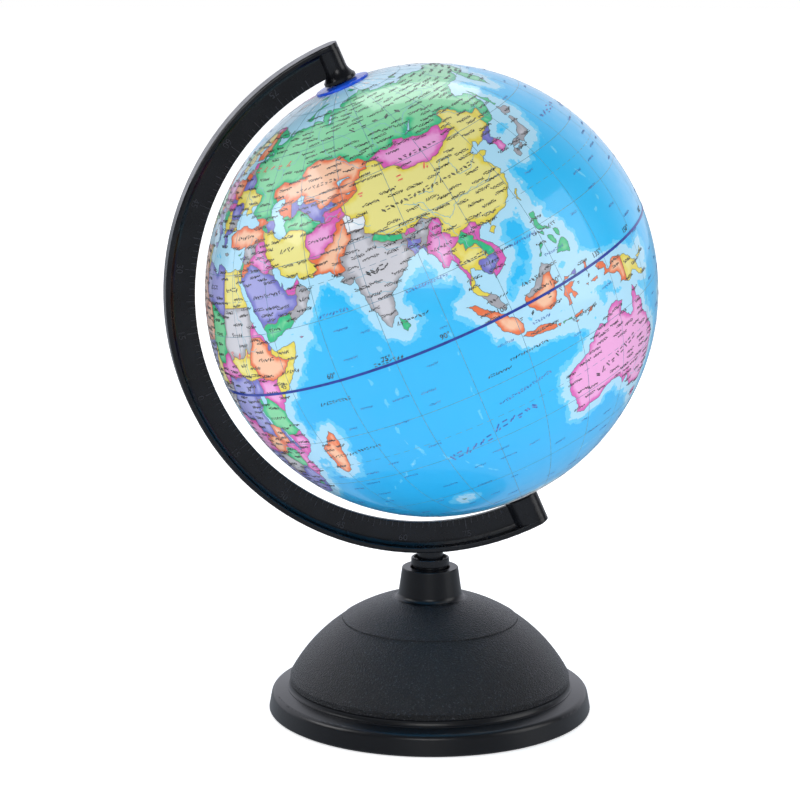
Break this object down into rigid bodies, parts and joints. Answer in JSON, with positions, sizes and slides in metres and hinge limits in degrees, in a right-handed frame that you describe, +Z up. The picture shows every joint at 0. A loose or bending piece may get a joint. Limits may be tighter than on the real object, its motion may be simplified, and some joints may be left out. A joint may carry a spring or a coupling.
{
  "type": "desktop globe on stand",
  "caption": "Political desk globe that spins on a tilted axis in a half-ring arm; the arm swivels on the neck of a round domed base.",
  "frame": {"origin": "middle of the ring that the base rests on, on the base's swivel axis", "axes": "+Z up along the swivel axis; the arm lies in the XZ plane on the -X side and the north pole leans towards -X; -Y is the front"},
  "size_m": [0.2183, 0.2004, 0.3023],
  "materials": {
    "base_plastic": "near-black moulded plastic, fine sparkling grain on the dome, smooth flange and neck",
    "arm_plastic": "near-black moulded plastic, smooth semi-gloss",
    "foot_rubber": "soft black non-slip ring",
    "screw_steel": "zinc-plated screw",
    "washer_steel": "plain pressed steel",
    "pin_steel": "drawn bright steel",
    "bush_plastic": "dark self-lubricating plastic",
    "inner_plastic": "undyed moulded plastic",
    "globe_print": "printed political map, bright blue sea, coloured countries, clear gloss coat",
    "equator_tape": "dark blue tape",
    "pole_cap_plastic": "bright blue glossy plastic"
  },
  "bodies": {
    "base": {"base_shell": "base_plastic", "neck_cap": "base_plastic", "cap_screws": "screw_steel", "foot_ring": "foot_rubber"},
    "arm": {"meridian_arm": "arm_plastic", "swivel_stem": "arm_plastic", "stem_washer": "washer_steel", "stem_screw": "screw_steel", "north_pivot_pin": "pin_steel", "south_pivot_pin": "pin_steel", "south_thrust_washer": "bush_plastic"},
    "globe": {"north_hemisphere": "globe_print", "south_hemisphere": "globe_print", "equator_joint_ring": "inner_plastic", "equator_band": "equator_tape", "north_pole_cap": "pole_cap_plastic", "north_pole_bush": "bush_plastic", "south_pole_bush": "bush_plastic", "north_bush_clip": "washer_steel", "south_bush_clip": "washer_steel"}
  },
  "joints": [
    {"name": "arm_swivel", "type": "hinge", "parent": "base", "child": "arm", "pos_m": [0, 0, 0], "axis": [0, 0, 1], "continuous": true},
    {"name": "globe_spin", "type": "hinge", "parent": "arm", "child": "globe", "pos_m": [0, 0, 0.1919], "axis": [-0.3987, 0, 0.9171], "continuous": true}
  ]
}
